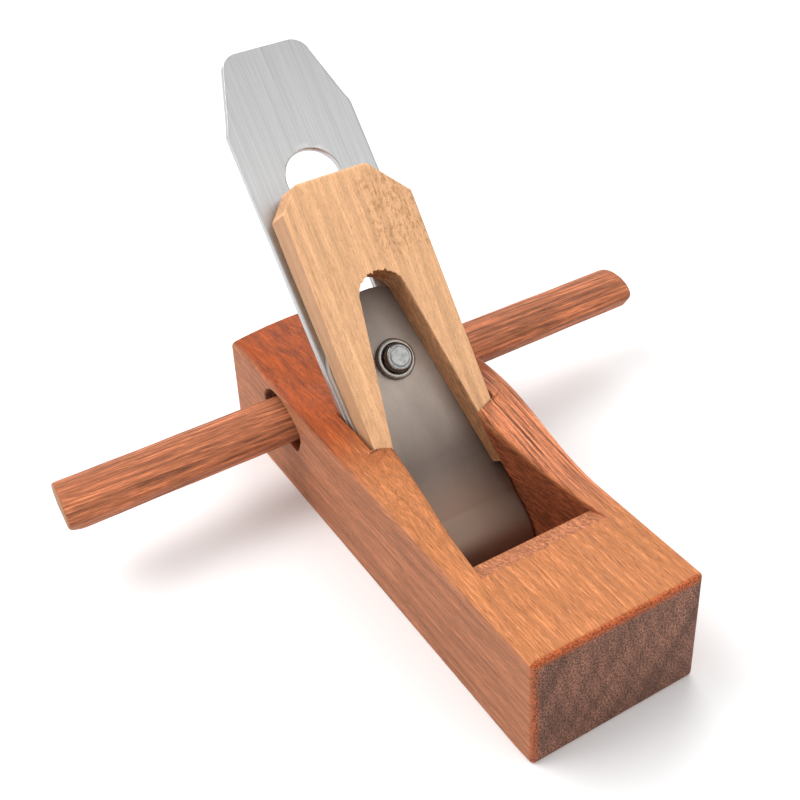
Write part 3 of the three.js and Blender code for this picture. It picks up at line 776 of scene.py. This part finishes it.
def cap_steel(colours):
    """Mild steel with its heat-browned skin rubbed back: grey, mottled and gritty towards its
    rounded top, which is darkened by painted shadow, and lightened on its bent nose by a painted
    highlight."""
    made = worked_metal("browned_mild_steel", colours.cap_iron, (1.6, 2.2, 2.2), 0.5, 0.14, 0.0001)
    material, tree, shader, tone = made
    place = millimetres(tree, ON_BED)
    cloud = stretched_noise(tree, place, (0.05, 0.09, 0.05), 4.0, 0.55)
    colour = shade_by(tree, tone, cloud, 0.86, 1.12, 0.3, 0.7)
    # The mapped X falls from 17.3 at the cutting edge to -81.7 at the cap iron's top.
    along = node(tree, "SeparateXYZ", {0: place}, "X")
    # Painted shadow: the cap iron is darkened towards its rounded top, under the wedge's arch.
    top = node(tree, "MapRange", {0: along, 1: -88.0, 2: -58.0, 3: 0.95, 4: 0.0})
    low = node(tree, "MapRange", {0: along, 1: -48.0, 2: -24.0, 3: 0.0, 4: 0.65})
    # Painted highlight: the bent nose is lightened.
    nose = node(tree, "MapRange", {0: along, 1: -20.0, 2: -6.0, 3: 0.0, 4: 0.7})
    for share, over in ((top, "#4E423B"), (low, "#574840"), (nose, "#AE9482")):
        inputs = {0: share, 6: colour, 7: linear(over)}
        colour = node(tree, "Mix", inputs, 2, data_type="RGBA")
    tree.links.new(colour, shader.inputs["Base Color"])
    return material


def collar_steel(colours):
    """Mild steel turned and left bright, a little duller than the screw's plate."""
    return worked_metal("turned_mild_steel", colours.collar, (0.8, 0.8, 0.8), 0.22, 0.4, 0.0001)[0]


def screw_zinc(colours):
    """Zinc-plated steel, turned and a little tarnished."""
    return worked_metal("zinc_plated_steel", colours.screw, (0.7, 0.7, 0.7), 0.14, 0.5, 0.0002)[0]


# ---- Handle, wedge, iron, cap iron and screw ----


def handle_grid(sizes):
    """The profile carried along Y, with rounded ends and a slow hand-scraped waviness. The profile
    is about 10 mm to each side, so it swells by the wave's height over 10 mm."""
    inset = np.array([0.9, 0.45, 0.2, 0.05, 0.0])
    near = [(HANDLE_NEAR + a, b) for a, b in zip([0.0, 0.15, 0.4, 0.8, 1.2], inset)]
    middle = [(y, 0.0) for y in np.linspace(HANDLE_NEAR + 3.5, HANDLE_FAR - 4.0, 150)]
    far = [(HANDLE_FAR - a, b) for a, b in zip([2.6, 1.6, 0.9, 0.3, 0.0], inset[::-1] * 2.4)]
    rings = []
    for y, less in near + middle + far:
        half, rise, drop = handle_half_sizes(y)
        drop = drop * (1 - 0.3 * max(0.0, 1 - (y - HANDLE_NEAR) / 6.0) ** 2)
        ring = handle_profile(half - less, rise - less, drop - less, 40)
        wave = math.sin(y / 9.0 + 1.0) + 0.67 * math.sin(y / 3.7)
        ring = ring * (1 + sizes.handle_wave / MM / 10.0 * wave)
        lean = -0.06 * ring[:, 0] * max(0.0, 1 - (y - HANDLE_NEAR) / 12.0)
        rings.append(np.column_stack([HANDLE_X + ring[:, 0], y + lean, HANDLE_Z + ring[:, 1]]))
    return np.array(rings)


def wedge_thickness(s):
    """The distance from the wedge's front face back to the face that bears on the cap iron."""
    front = wedge_front(0.0, s, 0.0)
    h = (front[..., 0] - EDGE_X) * math.sin(BED_ANGLE) + front[..., 2] * math.cos(BED_ANGLE)
    return (h - WEDGE_BACK) / math.cos(WEDGE_ANGLE - BED_ANGLE)


def wedge_grid():
    """Rings up the wedge: a rectangle with rounded corners whose near back corner is cut off, a
    little more towards the top, and whose sides step in along straight clips at the top."""
    tip = WEDGE_TIP + np.array([0.0, 0.15, 0.5])
    top = WEDGE_TOP - np.array([0.8, 0.4, 0.15, 0.0])
    clips = [np.linspace(FAR_CLIP, 134.4, 6), np.linspace(NEAR_CLIP, top[0], 10)]
    s_rows = np.concatenate([tip, np.linspace(WEDGE_TIP + 1, 129, 76), *clips, top[1:]])
    less = np.interp(s_rows, [*tip, *top], [0.5, 0.2, 0, 0, 0.15, 0.4, 0.7])
    rings = []
    for s, inset in zip(s_rows, less):
        far = WEDGE_HALF - max(0.0, (s - FAR_CLIP) / CLIP_SLOPE)
        near = WEDGE_HALF - max(0.0, (s - NEAR_CLIP) / CLIP_SLOPE)
        deep = float(wedge_thickness(np.array(s)))
        cut_h = mix(1.3, 1.9, smooth((s - 118.0) / 17.0))
        corners = np.array(
            [
                (-near + inset, -inset),
                (-near + inset, -(deep - cut_h)),
                (-near + cut_h * 0.8 + inset, -(deep - inset)),
                (far - inset, -(deep - inset)),
                (far - inset, -inset),
            ]
        )
        ring = rounded_loop(corners, 0.45, 18)
        rings.append(wedge_front(ring[:, 0], s, ring[:, 1]))
    return np.array(rings)


def rounded_loop(corners, radius, per_side):
    """A closed polygon with each corner replaced by a short quadratic curve."""
    loop = []
    count = len(corners)
    for i in range(count):
        before, here, after = corners[i - 1], corners[i], corners[(i + 1) % count]
        a, b = before - here, after - here
        a, b = a / np.linalg.norm(a), b / np.linalg.norm(b)
        t = np.linspace(0, 1, 5)[:, None]
        into, start, end = here + a * radius, here + b * radius, after - b * radius
        loop.append((1 - t) ** 2 * into + 2 * t * (1 - t) * here + t**2 * start)
        loop.append(start + np.linspace(0, 1, per_side + 2)[1:-1, None] * (end - start))
    return np.vstack(loop)


def slot_cutter(sizes):
    """The slot's outline: legs that spread towards the tips under a round arch, its edges eased
    by growing at the front face, and its crown torn by a seeded ragged edge near there."""
    turn = np.linspace(np.pi, 0, 61)
    spread = 0.165
    leg = np.linspace(20.0, ARCH_S - 0.5, 60)
    half = ARCH_RADIUS + (ARCH_S - leg) * spread
    y = np.concatenate([-half, ARCH_RADIUS * np.cos(turn), half[::-1]])
    s = np.concatenate([leg, ARCH_S + ARCH_RADIUS * np.sin(turn), leg[::-1]])
    crown = np.concatenate([0 * leg, np.sin(turn) ** 1.5, 0 * leg])
    rough = wobble(y, (3.1, 1.9, 1.3, 1.0), 11) * crown
    dy = np.gradient(y)
    ds = np.gradient(s)
    length = np.hypot(dy, ds)
    ny, ns = -ds / length, dy / length
    inside = [-2.0, -3.0, -4.5, -6.0, -8.0, -10.0, -13.0, -20.0]
    rings = []
    for d in np.concatenate([[3.0, 0.2], -np.linspace(0, 1.2, 7), inside]):
        front = max(0.0, 1 + d / 0.9) if d < 0 else 1.0
        grow = 0.3 * front**2 * (1 - 0.8 * crown)
        tear = rough * sizes.arch_tear / MM * math.exp(min(d, 0.0) / 2.5) - 0.3 * crown
        rings.append(wedge_front(y + ny * (grow + tear), s + ns * (grow + tear), d))
    return surface("slot_cutter", np.array(rings))


def arc(cy, cs, radius, start, end, steps):
    """Points on a circle's arc, across and up the bed."""
    turn = np.linspace(start, end, steps)
    return np.column_stack([cy + radius * np.cos(turn), cs + radius * np.sin(turn)])


def plate_rings(s_rows, half, low, high, edge):
    """Rings round a plate from its foot to its top: across the face, over a rounded edge, back
    across the underside and over the other edge."""
    across = np.linspace(-1, 1, 60)
    turn = np.linspace(np.pi / 2, 0, 4)[1:]
    rings = []
    for s, w, a, b in zip(s_rows, half, low, high):
        r = min(edge, (b - a) * 0.4, w * 0.4)
        face = across * (w - r)
        right_y, right_h = w - r + r * np.cos(turn), b - r + r * np.sin(turn)
        down_y, down_h = right_y[::-1], a + b - right_h[::-1]
        ring_y = np.concatenate([face, right_y, down_y, face[::-1], -down_y[::-1], -right_y[::-1]])
        ring_h = np.concatenate(
            [np.full(60, b), right_h, down_h, np.full(60, a), down_h[::-1], right_h[::-1]]
        )
        rings.append(bed(ring_y, s, ring_h))
    return np.array(rings)


def iron_grid():
    """The iron's outline as a half width at each place up it, with straight shoulders and a
    round corner at each end of the top, and the ground bevel as an underside that rises."""
    bevel = [[0.0, 0.25, 0.7], np.linspace(1.2, 6.4, 10), [6.45]]
    shoulder = [157.5, 158.8, 159.7, 160.6, 161.8]
    corner_s, corner_rise = 178.6, 4.8
    top = corner_s + corner_rise * np.sin(np.linspace(0, np.pi / 2, 16))
    sides = [np.linspace(8, 156, 75), shoulder, np.linspace(163, 178, 14)]
    s_rows = np.concatenate([*bevel, *sides, top])
    halves = IRON_HALF - np.array([0, 0, 0.1, 0.3, 0.7, 1.2, 6.7])
    straight = np.interp(s_rows, [0, *shoulder, corner_s], halves)
    corner = np.clip((s_rows - corner_s) / corner_rise, 0, 1)
    half = straight - 5.2 * (1 - np.sqrt(1 - corner**2)) - 0.7 * corner
    low = -np.minimum(IRON_THICK, s_rows * math.tan(GRIND_ANGLE) + 0.02)
    return plate_rings(s_rows, half, low, np.zeros_like(s_rows), 0.3)


def keyhole_cutter():
    """A round hole over a long slot with a round foot, growing a little at both faces."""
    meet = math.asin(SLOT_RADIUS / HOLE_RADIUS)
    side = np.linspace(65, 129, 28)
    loop = np.vstack(
        [
            arc(0, SLOT_FOOT_S, SLOT_RADIUS, math.pi, 2 * math.pi, 24),
            np.column_stack([np.full(28, SLOT_RADIUS), side]),
            arc(0, HOLE_S, HOLE_RADIUS, -math.pi / 2 + meet, 1.5 * math.pi - meet, 72),
            np.column_stack([np.full(28, -SLOT_RADIUS), side[::-1]]),
        ]
    )
    way = np.roll(loop, -1, axis=0) - np.roll(loop, 1, axis=0)
    way = way / np.linalg.norm(way, axis=1)[:, None]
    out = np.column_stack([way[:, 1], -way[:, 0]])
    under = [(-4.0, 0.3), (-3.0, 0.3), (-2.85, 0.08), (-2.7, 0.0)]
    over = [(-0.3, 0.0), (-0.15, 0.08), (0.0, 0.3), (1.0, 0.3)]
    rings = []
    for h, grow in under + over:
        place = loop + out * grow
        rings.append(bed(place[:, 0], place[:, 1], h))
    return surface("keyhole_cutter", np.array(rings))


def cap_heights(s):
    """The underside and the face over the iron: flat, with one sine swell at the bent nose."""
    share = np.clip((s - CAP_NOSE_S) / CAP_BEND, 0, 1)
    swell = np.sin(np.pi * share) ** 1.5
    body = np.sqrt(np.sin(np.pi / 2 * np.minimum(1, share * 2.2 + 0.02)))
    return CAP_UNDER + 1.2 * swell, CAP_UNDER + CAP_THICK * body + 1.9 * swell


def cap_grid():
    """The cap iron's rings: square at the nose, straight sides and a half-ellipse top."""
    top = CAP_ROUND_S + (CAP_ROUND_RISE - 0.05) * np.sin(np.linspace(0, np.pi / 2, 44))
    s_rows = np.concatenate([[CAP_NOSE_S], np.linspace(1.4, 24, 44), np.linspace(25, 75, 40), top])
    rise = np.clip((s_rows - CAP_ROUND_S) / CAP_ROUND_RISE, 0, 1)
    half = CAP_HALF * np.sqrt(1 - rise**2)
    low, high = cap_heights(s_rows)
    return plate_rings(s_rows, half, low, high, 0.45)


def turned(radius, height):
    """A profile of radius and height carried round the cap screw's axis. The radius is one number
    for each height, or a row of them when it changes round the axis."""
    turn = np.linspace(0, 2 * np.pi, AROUND, endpoint=False)
    r = np.reshape(radius, (len(height), -1))
    h = np.reshape(height, (-1, 1))
    return bed(r * np.cos(turn), SCREW_S + r * np.sin(turn), h + 0 * turn)


def collar_grid():
    """The collar's section, a straight bore and a rounded wall, turned into a torus."""
    radius = [4.9, 6.9, 6.95, 6.6, 6.42, 6.4, 6.4, 6.2, 5.8, 5.3, 4.9, 4.9]
    height = [2.5, 2.5, 2.85, 3.0, 3.3, 3.6, 4.8, 5.3, 5.5, 5.5, 5.3, 2.6]
    return turned(radius, height)


def threaded_end(sizes):
    """The screw: head, shank, a threaded end whose radius follows a helix, and a domed tip."""
    head_radius = HEAD_RADIUS - np.array([HEAD_RADIUS - 0.3, 1.9, 0.9, 0.3, 0.0])
    head = turned(head_radius, HEAD_BACK + np.array([0.0, 0.0, 0.2, 0.6, 1.3]))
    neck_radius = [HEAD_RADIUS, HEAD_RADIUS - 0.1, HEAD_RADIUS - 0.4, SCREW_RADIUS - 0.1]
    neck = turned(neck_radius, [-4.0, -3.45, -3.3, -3.3])
    turn = np.linspace(0, 2 * np.pi, AROUND, endpoint=False)
    h = np.linspace(-3.1, 7.2, 90)[:, None]
    phase = 2 * np.pi * h * MM / sizes.thread_pitch - turn
    fade = smooth((h - 4.6) / 0.6) * smooth((7.3 - h) / 0.4)
    depth = 0.5 * sizes.thread_depth / MM * (1 + np.cos(phase)) * fade
    thread = turned(SCREW_RADIUS - depth, h)
    tip_radius = [4.55, 4.35, 4.0, 3.6, 3.3, 3.1, 2.4, 1.2, 0.3]
    tip = turned(tip_radius, [7.4, 7.75, 8.0, 8.12, 8.08, 7.96, 7.98, 8.06, 8.12])
    return np.vstack([head, neck, thread, tip])


def driver_slot():
    """A flat-sided bar across the back of the screw's head."""
    long, wide, deep = 10.0, 0.8, 1.6
    y = np.array([-long, long, long, -long])
    h = HEAD_BACK + np.array([-3.0, -3.0, deep, deep])
    rings = [bed(y, SCREW_S + w, h) for w in (-wide, wide)]
    return surface("driver_slot", np.array(rings))


def dress_wedge(made):
    """Marks the torn grain inside the slot, whose darker colour is partly painted shade, and the
    picked-up patch near the top.
    """
    co, normal = places(made)
    c, n = math.cos(WEDGE_ANGLE), math.sin(WEDGE_ANGLE)
    x, y, z = co[:, 0] - wedge_foot(), co[:, 1], co[:, 2]
    s, d = -x * c + z * n, x * n + z * c
    up_normal = -normal[:, 0] * c + normal[:, 2] * n
    crown = smooth((-up_normal - 0.2) / 0.5) * smooth((s - 98) / 4) * smooth((118 - s) / 4)
    walls = smooth((np.abs(normal[:, 1]) - 0.5) / 0.4) * smooth((21.0 - np.abs(y)) / 1.0) * 0.6
    paint(made, "torn", np.clip(np.maximum(crown, walls) * smooth((-0.1 - d) / 0.6), 0, 1))
    patch = smooth((s - 108.0) / 8.0) * smooth((y - 1.0) / 6.0) * smooth((142.0 - s) / 6.0)
    paint(made, "picked", patch * (d > -0.4))


# ---- Operators ----


def size_setting(name, description, default, low, high):
    """A length property, given in millimetres."""
    return FloatProperty(
        name=name,
        description=description,
        default=default * MM,
        min=low * MM,
        max=high * MM,
        precision=5,
        unit="LENGTH",
    )


class PlaneSizes(bpy.types.PropertyGroup):
    """Edge roundings, marks of the hand and the thread, each read by the piece it belongs to."""

    corner_rounding: size_setting("Corners", "Rounding of the stock's upright corners", 1.6, 0.2, 3.0)
    sole_rounding: size_setting("Sole edge", "Rounding along the sole's two long edges", 0.8, 0.2, 2.0)
    toe_easing: size_setting("Toe edge", "Easing of the top edge at the toe", 0.9, 0.2, 2.0)
    hump_easing: size_setting("Hump edge", "Easing of the near top edge over the hump", 2.6, 0.5, 4.0)
    arch_tear: size_setting("Arch tear", "Depth of the torn grain under the arch", 0.85, 0.0, 1.2)
    handle_wave: size_setting("Handle wave", "Height of the scraped waves on the handle", 0.06, 0.0, 0.2)
    thread_pitch: size_setting("Thread pitch", "Pitch of the cap screw's thread", 1.0, 0.5, 2.0)
    thread_depth: size_setting("Thread depth", "Depth of the cap screw's thread", 0.32, 0.0, 0.5)


def colour_setting(name, description, default):
    """A colour property, given as an sRGB hex colour and stored linear."""
    return FloatVectorProperty(
        name=name, description=description, subtype="COLOR", size=4, min=0, max=1, default=linear(default)
    )


class PlaneColours(bpy.types.PropertyGroup):
    """The colour that each finish starts from."""

    stock_side: colour_setting("Stock sides", "Planed hardwood of the stock's sides", "#B5734F")
    stock_top: colour_setting("Stock top", "Oiled hardwood over the toe", "#D18451")
    stock_rear: colour_setting("Stock rear", "Oiled hardwood behind the iron", "#AE4C0C")
    # The throat's colour is painted shade, darker than the wood of the sides.
    throat: colour_setting("Throat", "Hardwood inside the throat", "#9A5330")
    end_grain: colour_setting("End grain", "Hardwood at the toe and the heel", "#835947")
    handle: colour_setting("Handle", "Scraped hardwood of the crossbar", "#BE714A")
    wedge: colour_setting("Wedge", "Pale hardwood of the wedge", "#F7BF8E")
    iron: colour_setting("Iron", "Ground steel of the iron", "#BBBBBB")
    cap_iron: colour_setting("Cap iron", "Browned steel of the cap iron", "#B3A79D")
    collar: colour_setting("Collar", "Turned steel of the cap iron's collar", "#99938C")
    screw: colour_setting("Cap screw", "Zinc plate of the cap screw", "#8E8E8C")
    floor: colour_setting("Floor", "The pale floor", "#F4F4F4")


def settle(made, material, body, nodes):
    """Gives a piece its material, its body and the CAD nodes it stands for."""
    made.data.materials.clear()
    made.data.materials.append(material)
    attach(made, body)
    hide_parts(*nodes)


class PLANE_OT_stock(bpy.types.Operator):
    """Make the hump-backed stock with its throat, bed and handle hole"""

    bl_idname = "plane.stock"
    bl_label = "Stock"

    def execute(self, context):
        made = surface("stock_block", stock_grid(context.scene.plane_sizes), torus=True)
        cut(made, hole_cutter(), groove_cutter())
        dress_stock(made)
        settle(made, stock_wood(context.scene.plane_colours), "stock", ["stock"])
        return {"FINISHED"}


class PLANE_OT_handle(bpy.types.Operator):
    """Make the crossbar handle"""

    bl_idname = "plane.handle"
    bl_label = "Handle"

    def execute(self, context):
        made = surface("crossbar", handle_grid(context.scene.plane_sizes))
        tidy(made, 50.0)
        settle(made, handle_wood(context.scene.plane_colours), "handle", ["handle"])
        return {"FINISHED"}


class PLANE_OT_wedge(bpy.types.Operator):
    """Make the slotted wedge"""

    bl_idname = "plane.wedge"
    bl_label = "Wedge"

    def execute(self, context):
        made = surface("slotted_wedge", wedge_grid())
        cut(made, slot_cutter(context.scene.plane_sizes))
        dress_wedge(made)
        settle(made, wedge_wood(context.scene.plane_colours), "wedge", ["wedge"])
        return {"FINISHED"}


class PLANE_OT_iron(bpy.types.Operator):
    """Make the iron with its keyhole slot and ground bevel"""

    bl_idname = "plane.iron"
    bl_label = "Iron"

    def execute(self, context):
        made = surface("plane_iron", iron_grid())
        cut(made, keyhole_cutter())
        settle(made, iron_steel(context.scene.plane_colours), "iron", ["iron"])
        return {"FINISHED"}


class PLANE_OT_cap(bpy.types.Operator):
    """Make the bent cap iron and its threaded collar"""

    bl_idname = "plane.cap"
    bl_label = "Cap iron"

    def execute(self, context):
        steel = cap_steel(context.scene.plane_colours)
        plate = surface("cap_plate", cap_grid())
        settle(plate, steel, "cap_iron", ["cap_iron"])
        collar = surface("cap_collar", collar_grid(), torus=True)
        bright = collar_steel(context.scene.plane_colours)
        settle(collar, bright, "cap_iron", ["cap_iron"])
        return {"FINISHED"}


class PLANE_OT_screw(bpy.types.Operator):
    """Make the cap screw"""

    bl_idname = "plane.screw"
    bl_label = "Cap screw"

    def execute(self, context):
        made = surface("cap_screw_body", threaded_end(context.scene.plane_sizes))
        cut(made, driver_slot())
        settle(made, screw_zinc(context.scene.plane_colours), "cap_screw", ["cap_screw"])
        return {"FINISHED"}


class PLANE_OT_stage(bpy.types.Operator):
    """Set the floor, the lights and the camera"""

    bl_idname = "plane.stage"
    bl_label = "Stage"

    def execute(self, context):
        scene = context.scene
        scene.view_settings.view_transform = "Standard"
        mesh = bpy.data.meshes.new("floor")
        corners = [(x * FLOOR_HALF, y * FLOOR_HALF, 0) for x, y in ((-1, -1), (1, -1), (1, 1), (-1, 1))]
        mesh.from_pydata(corners, [], [(0, 1, 2, 3)])
        floor = bpy.data.objects.new("floor", mesh)
        scene.collection.objects.link(floor)
        material, tree, shader = blank_material("pale_paper_floor")
        shader.inputs["Base Color"].default_value = scene.plane_colours.floor
        shader.inputs["Roughness"].default_value = 0.9
        mesh.materials.append(material)

        world = bpy.data.worlds.new("studio")
        world.use_nodes = True
        world.node_tree.nodes["Background"].inputs["Color"].default_value = linear("#FFFFFF")
        world.node_tree.nodes["Background"].inputs["Strength"].default_value = 0.7
        scene.world = world

        for name, place, size, power in LAMPS:
            light = bpy.data.lights.new(name, "AREA")
            light.size = size
            light.energy = power
            lamp = bpy.data.objects.new(name, light)
            lamp.location = place
            lamp.rotation_euler = (AIM - Vector(place)).to_track_quat("-Z", "Y").to_euler()
            scene.collection.objects.link(lamp)

        lens = bpy.data.cameras.new("camera")
        lens.lens = LENS_MM
        lens.sensor_width = 36
        lens.clip_start = 0.01
        camera = bpy.data.objects.new("camera", lens)
        turned_view = Matrix.Translation(CAMERA_PLACE)
        for degrees, axis in CAMERA_TURNS:
            turned_view = turned_view @ Matrix.Rotation(math.radians(degrees), 4, axis)
        camera.matrix_world = turned_view
        scene.collection.objects.link(camera)
        scene.camera = camera
        return {"FINISHED"}


MAKERS = (
    PLANE_OT_stock,
    PLANE_OT_handle,
    PLANE_OT_wedge,
    PLANE_OT_iron,
    PLANE_OT_cap,
    PLANE_OT_screw,
    PLANE_OT_stage,
)


class PLANE_PT_panel(bpy.types.Panel):
    """The push plane's settings and makers"""

    bl_idname = "PLANE_PT_panel"
    bl_label = "Push Plane"
    bl_space_type = "VIEW_3D"
    bl_region_type = "UI"
    bl_category = "Push Plane"

    def draw(self, context):
        layout = self.layout
        for group in (context.scene.plane_sizes, context.scene.plane_colours):
            for name in group.__annotations__:
                layout.prop(group, name)
        for maker in MAKERS:
            layout.operator(maker.bl_idname)


CLASSES = (PlaneSizes, PlaneColours, *MAKERS, PLANE_PT_panel)


def register():
    for item in CLASSES:
        bpy.utils.register_class(item)
    bpy.types.Scene.plane_sizes = PointerProperty(type=PlaneSizes)
    bpy.types.Scene.plane_colours = PointerProperty(type=PlaneColours)


def unregister():
    del bpy.types.Scene.plane_colours
    del bpy.types.Scene.plane_sizes
    for item in reversed(CLASSES):
        bpy.utils.unregister_class(item)


def main():
    register()
    for maker in MAKERS:
        group, name = maker.bl_idname.split(".")
        getattr(getattr(bpy.ops, group), name)()
    bpy.context.view_layer.update()


if __name__ == "__main__":
    main()
